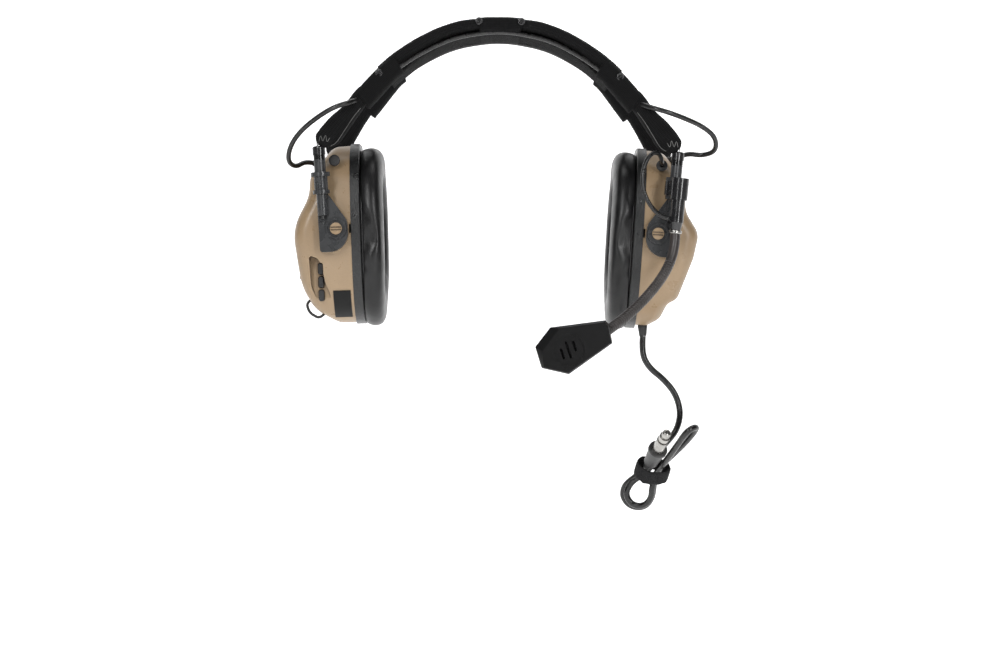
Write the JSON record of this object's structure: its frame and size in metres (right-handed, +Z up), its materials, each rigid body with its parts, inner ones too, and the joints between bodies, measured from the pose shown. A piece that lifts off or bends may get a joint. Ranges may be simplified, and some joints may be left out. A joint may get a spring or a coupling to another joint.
{
  "type": "communication headset",
  "caption": "Over-ear communication headset: padded wire headband, sliding yokes, tilting ear cups, gooseneck boom microphone and a tied-up lead with a plug.",
  "frame": {"origin": "midway between the two ear-cup pivots, at the height of the wearer's ears", "axes": "+X towards the wearer's left ear, -Y the way the wearer faces, +Z up over the headband"},
  "size_m": [0.2546, 0.1582, 0.2943],
  "materials": {
    "steel_wire": "spring steel wire",
    "band_fabric": "black ribbed knit",
    "cable": "smooth black cable jacket",
    "rubber": "matt black rubber",
    "tan_shell": "semi-matt coyote tan",
    "label": "dark plate, blank",
    "cell": "wrapped cell",
    "contact": "sprung sheet",
    "gloss_black": "gloss black",
    "bright_metal": "nickel",
    "gooseneck": "dark brown-grey ribbed tube",
    "mic_plastic": "grained black",
    "strap": "wide black strap",
    "plug_plastic": "dark moulded plastic",
    "grey_nylon": "glass-filled nylon",
    "dark_plate": "grained dark grey",
    "cushion_leather": "soft black protein leather",
    "foam": "open-cell foam",
    "speaker_parts": "driver with paper cone",
    "board": "circuit board",
    "screw_steel": "zinc plated"
  },
  "bodies": {
    "headband": {"headband_wire_front": "steel_wire", "headband_wire_rear": "steel_wire", "headband_cover": "band_fabric", "left_sleeve_front": "band_fabric", "left_sleeve_rear": "band_fabric", "right_sleeve_front": "band_fabric", "right_sleeve_rear": "band_fabric", "crossover_cable": "cable", "left_loop_cable": "cable", "right_loop_cable": "cable"},
    "right_yoke": {"right_arm_front": "grey_nylon", "right_arm_rear": "grey_nylon", "right_arm_caps": "gloss_black"},
    "left_yoke": {"left_arm_front": "grey_nylon", "left_arm_rear": "grey_nylon", "left_arm_caps": "gloss_black"},
    "right_cup": {"right_shell": "tan_shell", "right_back_plate": "dark_plate", "right_cushion": "cushion_leather", "right_liner": "foam", "right_speaker": "speaker_parts", "right_circuit_board": "board", "right_pivot_pins": "tan_shell", "right_plate_screws": "screw_steel", "right_cable_gland": "rubber", "label_plate": "label", "batteries": "cell", "battery_contacts": "contact", "door_tether": "rubber"},
    "battery_door": {"battery_door": "tan_shell"},
    "mode_button": {"mode_button": "rubber"},
    "volume_up_button": {"volume_up_button": "rubber"},
    "volume_down_button": {"volume_down_button": "rubber"},
    "jack_cover": {"jack_cover": "rubber"},
    "left_cup": {"left_shell": "tan_shell", "left_back_plate": "dark_plate", "left_cushion": "cushion_leather", "left_liner": "foam", "left_speaker": "speaker_parts", "left_circuit_board": "board", "left_pivot_pins": "tan_shell", "left_plate_screws": "screw_steel", "left_cable_gland": "rubber", "mic_grommet": "rubber", "mic_lead": "cable", "downlead_relief": "rubber", "downlead_cable": "cable", "cord_hank": "cable", "cord_tie": "strap", "plug_relief": "rubber", "plug_body": "plug_plastic", "plug_shaft": "bright_metal"},
    "boom": {"boom_clip": "gloss_black", "boom_ferrule": "bright_metal", "gooseneck_base": "gooseneck"},
    "boom_mid": {"gooseneck_mid": "gooseneck"},
    "mic": {"gooseneck_end": "gooseneck", "mic_front_housing": "mic_plastic", "mic_rear_housing": "mic_plastic", "mic_capsule": "bright_metal"}
  },
  "joints": [
    {"name": "right_height", "type": "slide", "parent": "headband", "child": "right_yoke", "axis": [0.0811, 0, -0.9967], "range_m": [0, 0.03], "deforming": ["right_loop_cable"]},
    {"name": "right_tilt", "type": "hinge", "parent": "right_yoke", "child": "right_cup", "pos_m": [-0.0938, 0, 0], "axis": [0, 1, 0], "range_deg": [-12, 12], "deforming": ["right_loop_cable"]},
    {"name": "left_height", "type": "slide", "parent": "headband", "child": "left_yoke", "axis": [-0.0811, 0, -0.9967], "range_m": [0, 0.03], "deforming": ["left_loop_cable"]},
    {"name": "left_tilt", "type": "hinge", "parent": "left_yoke", "child": "left_cup", "pos_m": [0.0938, 0, 0], "axis": [0, 1, 0], "range_deg": [-12, 12], "deforming": ["left_loop_cable", "mic_lead"]},
    {"name": "battery_door_hinge", "type": "hinge", "parent": "right_cup", "child": "battery_door", "pos_m": [-0.11558, 0, -0.02808], "axis": [0, -1, 0], "range_deg": [0, 100]},
    {"name": "jack_cover_pull", "type": "slide", "parent": "right_cup", "child": "jack_cover", "axis": [0, -1, 0], "range_m": [0, 0.009]},
    {"name": "boom_swing", "type": "hinge", "parent": "left_yoke", "child": "boom", "pos_m": [0.10078, -0.046, -0.00057], "axis": [0.0811, 0, 0.9967], "range_deg": [-15, 60], "deforming": ["mic_lead"]},
    {"name": "gooseneck_upper_bend", "type": "hinge", "parent": "boom", "child": "boom_mid", "pos_m": [0.10105, -0.0594, -0.0138], "axis": [0, 1, 0], "range_deg": [-25, 25]},
    {"name": "gooseneck_lower_bend", "type": "hinge", "parent": "boom_mid", "child": "mic", "pos_m": [0.0771, -0.081, -0.0461], "axis": [0, 0, 1], "range_deg": [-25, 25]},
    {"name": "volume_up_button_press", "type": "slide", "parent": "right_cup", "child": "volume_up_button", "axis": [0, 1, 0], "range_m": [0, 0.0012], "stiffness_N_per_m": 350},
    {"name": "mode_button_press", "type": "slide", "parent": "right_cup", "child": "mode_button", "axis": [0, 1, 0], "range_m": [0, 0.0012], "stiffness_N_per_m": 350},
    {"name": "volume_down_button_press", "type": "slide", "parent": "right_cup", "child": "volume_down_button", "axis": [0, 1, 0], "range_m": [0, 0.0012], "stiffness_N_per_m": 350}
  ]
}
